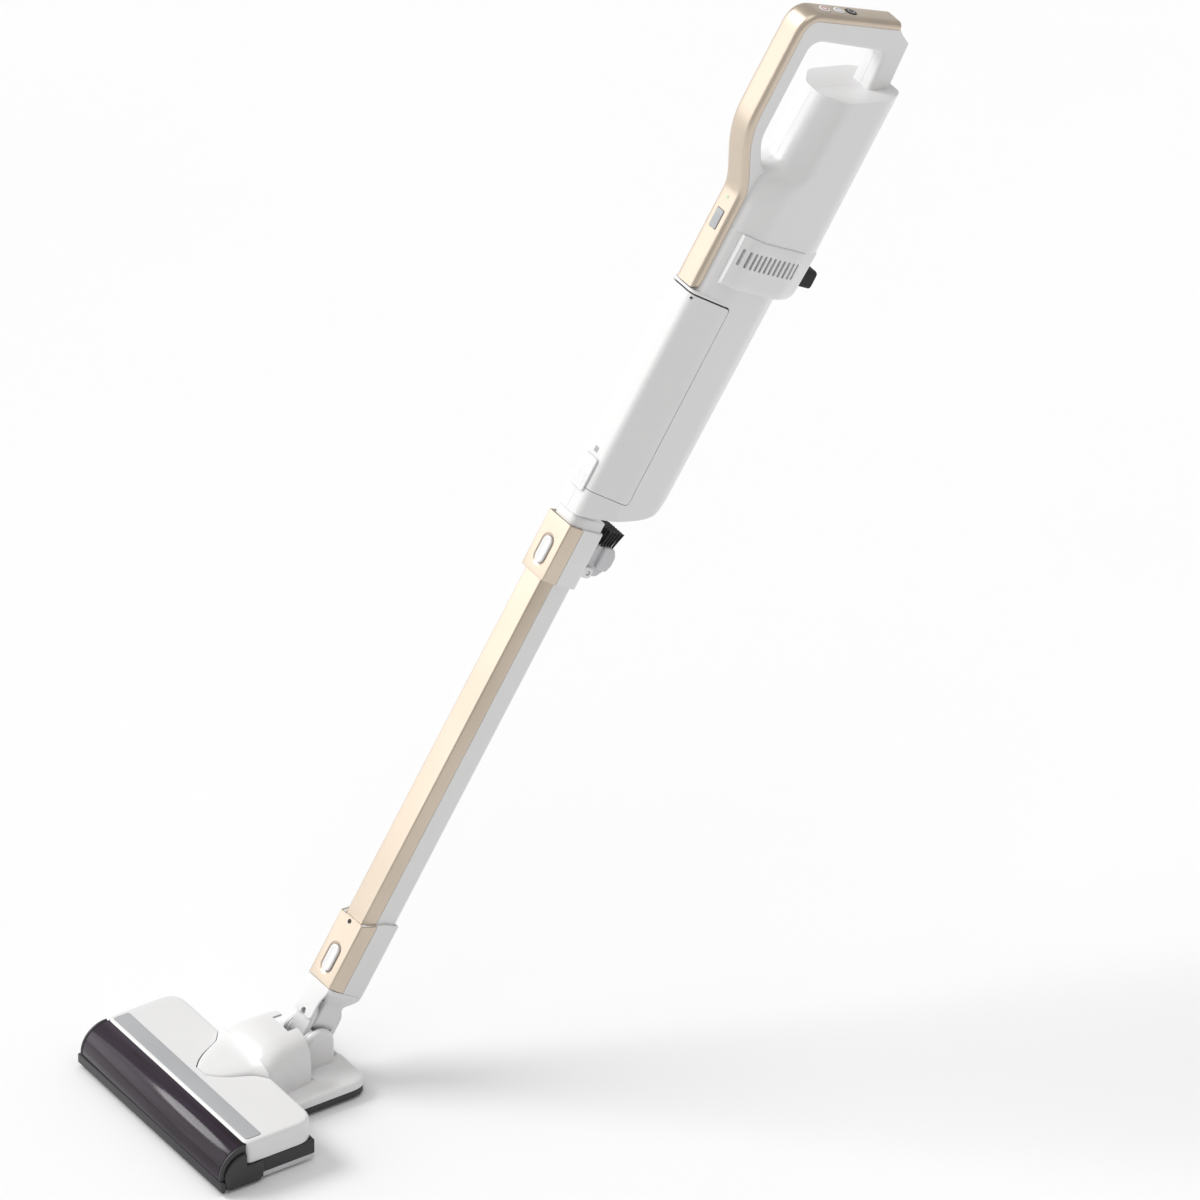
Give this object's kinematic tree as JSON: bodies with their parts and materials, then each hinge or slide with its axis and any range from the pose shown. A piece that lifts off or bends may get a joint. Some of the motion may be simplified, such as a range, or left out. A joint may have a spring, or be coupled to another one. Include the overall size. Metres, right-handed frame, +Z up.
{
  "type": "cordless stick vacuum",
  "caption": "Slim cordless stick vacuum: powered floor head with jointed neck, wand, and a handheld body with dust door, vent band, loop handle and flip brush.",
  "frame": {"origin": "on the floor, straight below the axis on which the neck pitches", "axes": "+Z up, +X along the head's width, the head's front towards -Y; the stick leans back towards +Y by 32.3 degrees from upright"},
  "size_m": [0.23, 0.7799, 0.9214],
  "materials": {
    "white_shell": "glossy moulded white",
    "pale_plastic": "pale moulded",
    "grey_plastic": "satin mid grey",
    "dark_plastic": "fine grained dark grey",
    "smoked_window": "smoked translucent purple brown",
    "champagne": "metallic champagne lacquer",
    "rubber": "matt black",
    "bristle": "black nylon bristle",
    "steel": "plain steel",
    "motor_steel": "plated can",
    "paper": "filter paper",
    "card": "pressed card",
    "foam": "open cell foam",
    "battery": "shrink sleeve",
    "board": "coated board"
  },
  "bodies": {
    "head": {"head_cover": "white_shell", "duct_cover": "white_shell", "trim_strip": "grey_plastic", "front_bumper": "dark_plastic", "brush_window": "smoked_window", "end_cap_left": "dark_plastic", "end_cap_right": "dark_plastic", "head_chassis": "dark_plastic", "sole_plate": "pale_plastic", "rear_axle": "steel", "brush_bearing_left": "steel", "brush_bearing_right": "steel", "brush_motor": "motor_steel", "drive_belt": "rubber"},
    "brush_roll": {"brush_core": "grey_plastic", "brush_bristles": "bristle", "brush_pulley": "pale_plastic"},
    "motor_shaft": {"motor_pulley": "pale_plastic"},
    "wheel_left": {"rear_wheel_left": "rubber"},
    "wheel_right": {"rear_wheel_right": "rubber"},
    "roller_left": {"front_roller_left": "grey_plastic"},
    "roller_right": {"front_roller_right": "grey_plastic"},
    "yoke": {"neck_drum": "white_shell", "neck_tilt_pin": "steel"},
    "neck": {"neck_pipe": "white_shell"},
    "wand": {"lower_collar": "white_shell", "lower_collar_facing": "champagne", "wand_tube": "white_shell", "wand_facing": "champagne"},
    "lower_release": {"lower_button": "white_shell", "lower_latch": "dark_plastic"},
    "handheld": {"upper_collar": "white_shell", "upper_collar_facing": "champagne", "tool_pin": "steel", "inlet_duct": "white_shell", "bag_card": "card", "dust_bag": "paper", "pre_filter": "foam", "fan_housing": "pale_plastic", "suction_motor": "motor_steel", "battery_pack": "battery", "circuit_board": "board", "body_shell_left": "white_shell", "body_shell_right": "white_shell", "handle_strip": "champagne", "vent_band": "white_shell", "lean_bumper": "rubber", "door_pin": "steel"},
    "upper_release": {"upper_button": "white_shell", "upper_latch": "dark_plastic"},
    "brush_tool": {"brush_holder": "pale_plastic", "tool_bristles": "bristle"},
    "door": {"dust_door": "white_shell"},
    "latch": {"door_latch": "white_shell"},
    "fan": {"impeller": "grey_plastic"},
    "off_key": {"off_button": "white_shell"},
    "standard_key": {"standard_button": "dark_plastic"},
    "strong_key": {"strong_button": "white_shell"},
    "brush_key": {"brush_switch": "grey_plastic"}
  },
  "joints": [
    {"name": "brush_spin", "type": "hinge", "parent": "head", "child": "brush_roll", "pos_m": [0, -0.137, 0.02], "axis": [1, 0, 0], "continuous": true},
    {"name": "motor_spin", "type": "hinge", "parent": "head", "child": "motor_shaft", "pos_m": [0, -0.091, 0.024], "axis": [1, 0, 0], "continuous": true},
    {"name": "wheel_left_spin", "type": "hinge", "parent": "head", "child": "wheel_left", "pos_m": [-0.043, 0.012, 0.007], "axis": [1, 0, 0], "continuous": true},
    {"name": "wheel_right_spin", "type": "hinge", "parent": "head", "child": "wheel_right", "pos_m": [0.043, 0.012, 0.007], "axis": [1, 0, 0], "continuous": true},
    {"name": "roller_left_spin", "type": "hinge", "parent": "head", "child": "roller_left", "pos_m": [-0.074, -0.104, 0.006], "axis": [1, 0, 0], "continuous": true},
    {"name": "roller_right_spin", "type": "hinge", "parent": "head", "child": "roller_right", "pos_m": [0.074, -0.104, 0.006], "axis": [1, 0, 0], "continuous": true},
    {"name": "neck_pitch", "type": "hinge", "parent": "head", "child": "yoke", "pos_m": [0, 0, 0.038], "axis": [-1, 0, 0], "range_deg": [-30, 45]},
    {"name": "neck_tilt", "type": "hinge", "parent": "yoke", "child": "neck", "pos_m": [0, 0.01176, 0.0566], "axis": [0, -0.8453, 0.5344], "range_deg": [-40, 40]},
    {"name": "wand_pull", "type": "slide", "parent": "neck", "child": "wand", "axis": [0, 0.5344, 0.8453], "range_m": [0, 0.06]},
    {"name": "lower_release_press", "type": "slide", "parent": "wand", "child": "lower_release", "axis": [0, -0.8453, 0.5344], "range_m": [-0.002, 0], "stiffness_N_per_m": 400, "springref_m": 0.001},
    {"name": "handheld_pull", "type": "slide", "parent": "wand", "child": "handheld", "axis": [0, 0.5344, 0.8453], "range_m": [0, 0.06]},
    {"name": "upper_release_press", "type": "slide", "parent": "handheld", "child": "upper_release", "axis": [0, -0.8453, 0.5344], "range_m": [-0.002, 0], "stiffness_N_per_m": 400, "springref_m": 0.001},
    {"name": "brush_flip", "type": "hinge", "parent": "handheld", "child": "brush_tool", "pos_m": [0, 0.27736, 0.43089], "axis": [-1, 0, 0], "range_deg": [0, 95]},
    {"name": "door_swing", "type": "hinge", "parent": "handheld", "child": "door", "pos_m": [0, 0.38516, 0.6772], "axis": [-1, 0, 0], "range_deg": [0, 70]},
    {"name": "latch_slide", "type": "slide", "parent": "door", "child": "latch", "axis": [0, 0.5344, 0.8453], "range_m": [0, 0.004], "stiffness_N_per_m": 200, "springref_m": -0.001},
    {"name": "fan_spin", "type": "hinge", "parent": "handheld", "child": "fan", "pos_m": [0, 0.4426, 0.68572], "axis": [0, 0.5344, 0.8453], "continuous": true},
    {"name": "off_press", "type": "slide", "parent": "handheld", "child": "off_key", "axis": [0, 0.4316, 0.902], "range_m": [-0.001, 0], "stiffness_N_per_m": 400, "springref_m": 0.001},
    {"name": "standard_press", "type": "slide", "parent": "handheld", "child": "standard_key", "axis": [0, 0.4316, 0.902], "range_m": [-0.001, 0], "stiffness_N_per_m": 400, "springref_m": 0.001},
    {"name": "strong_press", "type": "slide", "parent": "handheld", "child": "strong_key", "axis": [0, 0.4316, 0.902], "range_m": [-0.001, 0], "stiffness_N_per_m": 400, "springref_m": 0.001},
    {"name": "brush_press", "type": "slide", "parent": "handheld", "child": "brush_key", "axis": [0, -0.8453, 0.5344], "range_m": [-0.001, 0], "stiffness_N_per_m": 400, "springref_m": 0.001}
  ],
  "couplings": [
    {"joint": "motor_spin", "follows": "brush_spin", "ratio": 2}
  ]
}
